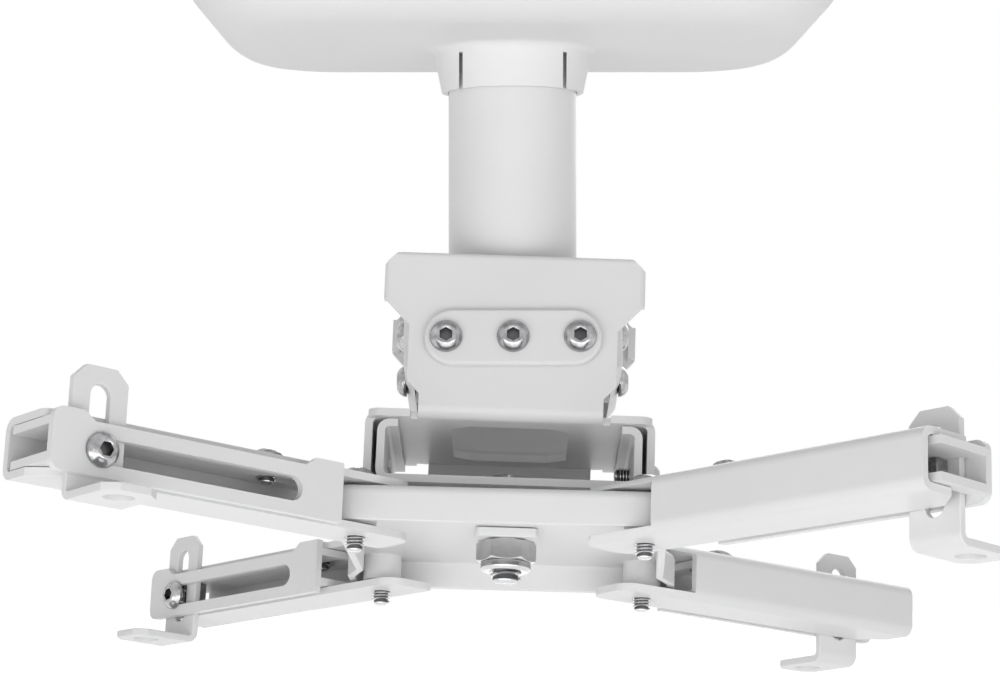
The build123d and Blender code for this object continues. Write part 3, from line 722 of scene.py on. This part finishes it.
@dataclass
class GimbalSet:
    """Tilt frame and roll bracket with their clamp plates and screws."""

    sheets: tuple[str, ...] = (
        "tilt_frame", "front_clamp_plate", "rear_clamp_plate", "roll_bracket",
    )
    screws: tuple[str, ...] = ("front_roll_screws", "rear_roll_screws")

    def build(self, shop: Workshop) -> None:
        """Build the set.

        Args:
            shop: The workshop.
        """
        for node in self.sheets:
            SheetPiece(node).build(shop)
        for node in self.screws:
            ButtonScrew().build(shop, node, joint_axis("roll"))


@dataclass
class HubSet:
    """Hanger, hub and the centre bolt that holds them together."""

    sheets: tuple[str, ...] = ("hanger_bracket", "hub_spacer", "square_washer", "hub")
    plated: tuple[str, ...] = ("hub_nut", "lock_collar")
    plated_edge: float = 0.0003

    def build(self, shop: Workshop) -> None:
        """Build the set.

        Args:
            shop: The workshop.
        """
        for node in self.sheets:
            SheetPiece(node).build(shop)
        for node in self.plated:
            SheetPiece(node, NUT_ZINC, self.plated_edge).build(shop)
        CentreBolt().build(shop, "center_bolt", joint_axis("yaw"))
        side = joint_axis("roll").cross(joint_axis("yaw")).normalized()
        ButtonScrew().build(shop, "hanger_lock_screw", side)


@dataclass
class ArmSet:
    """One arm with its sliding bar, foot and screws."""

    corner: Corner
    sheets: tuple[str, ...] = ("arm", "bar", "foot")
    upright_screws: tuple[str, ...] = ("pivot_screw", "bar_lock_screw")
    nut_edge: float = 0.0002

    def build(self, shop: Workshop) -> None:
        """Build the arm.

        Args:
            shop: The workshop.
        """
        name = self.corner.value
        for part in self.sheets:
            SheetPiece(f"{name}_{part}").build(shop)
        upright = joint_axis(f"{name}_arm_swing")
        along = joint_axis(f"{name}_foot_slide")
        for part in self.upright_screws:
            ButtonScrew().build(shop, f"{name}_{part}", upright)
        ButtonScrew().build(shop, f"{name}_foot_screw", upright.cross(along).normalized())
        SheetPiece(f"{name}_foot_nut", BRIGHT_ZINC, self.nut_edge).build(shop)


@dataclass
class SoftLamp:
    """A square studio lamp aimed at a point, with its power in watts."""

    name: str
    place: tuple[float, float, float]
    target: tuple[float, float, float]
    size: float
    power: float

    def build(self) -> None:
        """Hang the lamp."""
        light = bpy.data.lights.new(self.name, "AREA")
        light.size = self.size
        light.energy = self.power
        lamp = bpy.data.objects.new(self.name, light)
        way = Vector(self.target) - Vector(self.place)
        turn = way.to_track_quat("-Z", "Y").to_matrix().to_4x4()
        lamp.matrix_world = Matrix.Translation(self.place) @ turn
        bpy.context.scene.collection.objects.link(lamp)


@dataclass
class Studio:
    """Floor, lamps, white surround and the camera."""

    floor_z: float = -0.60
    floor_half: float = 4.0
    floor_tone: tuple[float, float, float, float] = (0.9, 0.9, 0.9, 1.0)
    floor_rough: float = 0.9
    floor_glow: float = 0.75
    ambient: float = 0.46
    camera_place: tuple[float, float, float] = (-0.0042, -0.869, -0.149)
    lens: float = 93.6
    sensor: float = 36.0
    shift_y: float = 0.0315
    nearest: float = 0.05
    lamps: tuple[SoftLamp, ...] = (
        SoftLamp("front_key", (-0.08, -1.35, -0.42), (0.0, 0.0, -0.19), 1.1, 3.3),
        SoftLamp("low_front", (0.0, -0.60, -0.55), (0.0, 0.0, -0.18), 0.8, 2.2),
        SoftLamp("left_box", (-0.85, -0.95, -0.50), (0.0, 0.0, -0.20), 0.6, 3.0),
        SoftLamp("right_box", (0.75, -1.00, -0.50), (0.0, 0.0, -0.20), 0.6, 2.6),
        SoftLamp("rear_fill", (0.35, 1.30, 0.55), (0.0, 0.0, -0.18), 1.2, 7.0),
    )

    def build(self) -> None:
        """Set the studio up."""
        self.lay_floor()
        self.surround()
        for lamp in self.lamps:
            lamp.build()
        self.place_camera()
        bpy.context.scene.view_settings.view_transform = "Standard"

    def lay_floor(self) -> None:
        """Lay a plain floor."""
        shape = bmesh.new()
        bmesh.ops.create_grid(
            shape, x_segments=2, y_segments=2, size=self.floor_half,
            matrix=Matrix.Translation((0, 0, self.floor_z)),
        )
        mesh = bpy.data.meshes.new("floor")
        shape.to_mesh(mesh)
        shape.free()
        mesh.materials.append(self.pale_floor())
        floor = bpy.data.objects.new("floor", mesh)
        bpy.context.scene.collection.objects.link(floor)

    def pale_floor(self) -> bpy.types.Material:
        """Build a pale material that shows white and keeps shadows.

        Returns:
            The material.
        """
        made = bpy.data.materials.new("pale_floor")
        made.use_nodes = True
        nodes, links = made.node_tree.nodes, made.node_tree.links
        shader = nodes["Principled BSDF"]
        shader.inputs["Base Color"].default_value = self.floor_tone
        shader.inputs["Roughness"].default_value = self.floor_rough
        shader.inputs["Emission Color"].default_value = WHITE
        glow = nodes.new("ShaderNodeMath")
        glow.operation = "MULTIPLY"
        glow.inputs[1].default_value = self.floor_glow
        links.new(self.seen_rays(nodes, links), glow.inputs[0])
        links.new(glow.outputs[0], shader.inputs["Emission Strength"])
        return made

    @staticmethod
    def seen_rays(
        nodes: bpy.types.Nodes, links: bpy.types.NodeLinks,
    ) -> bpy.types.NodeSocket:
        """One for rays that show the surround to the eye, none for those that light the object.

        Args:
            nodes: Nodes of the floor or the world.
            links: Their links.

        Returns:
            Socket with the value.
        """
        path = nodes.new("ShaderNodeLightPath")
        first = nodes.new("ShaderNodeMath")
        first.operation = "MAXIMUM"
        links.new(path.outputs["Is Camera Ray"], first.inputs[0])
        links.new(path.outputs["Is Glossy Ray"], first.inputs[1])
        second = nodes.new("ShaderNodeMath")
        second.operation = "MAXIMUM"
        links.new(first.outputs[0], second.inputs[0])
        links.new(path.outputs["Is Transmission Ray"], second.inputs[1])
        return second.outputs[0]

    def surround(self) -> None:
        """Make the world white to the eye and a plain soft light to the object."""
        world = bpy.data.worlds.new("surround")
        world.use_nodes = True
        nodes, links = world.node_tree.nodes, world.node_tree.links
        level = nodes.new("ShaderNodeMapRange")
        level.inputs["To Min"].default_value = self.ambient
        level.inputs["To Max"].default_value = 1.0
        links.new(self.seen_rays(nodes, links), level.inputs["Value"])
        nodes["Background"].inputs["Color"].default_value = WHITE
        links.new(level.outputs["Result"], nodes["Background"].inputs["Strength"])
        bpy.context.scene.world = world

    def place_camera(self) -> None:
        """Set the level camera at the photograph's angle."""
        lens = bpy.data.cameras.new("camera")
        lens.lens = self.lens
        lens.sensor_width = self.sensor
        lens.shift_y = self.shift_y
        lens.clip_start = self.nearest
        camera = bpy.data.objects.new("camera", lens)
        camera.location = self.camera_place
        camera.rotation_euler = (math.pi / 2, 0.0, 0.0)
        bpy.context.scene.collection.objects.link(camera)
        bpy.context.scene.camera = camera


def main() -> None:
    """Build the mount's sub-assemblies in order and set the studio round them."""
    logging.basicConfig(level=logging.INFO, format="%(message)s")
    shop = Workshop(grain_group())
    for part in (CeilingSet(), GimbalSet(), HubSet()):
        part.build(shop)
    for corner in Corner:
        ArmSet(corner).build(shop)
    Studio().build()


if __name__ == "__main__":
    main()
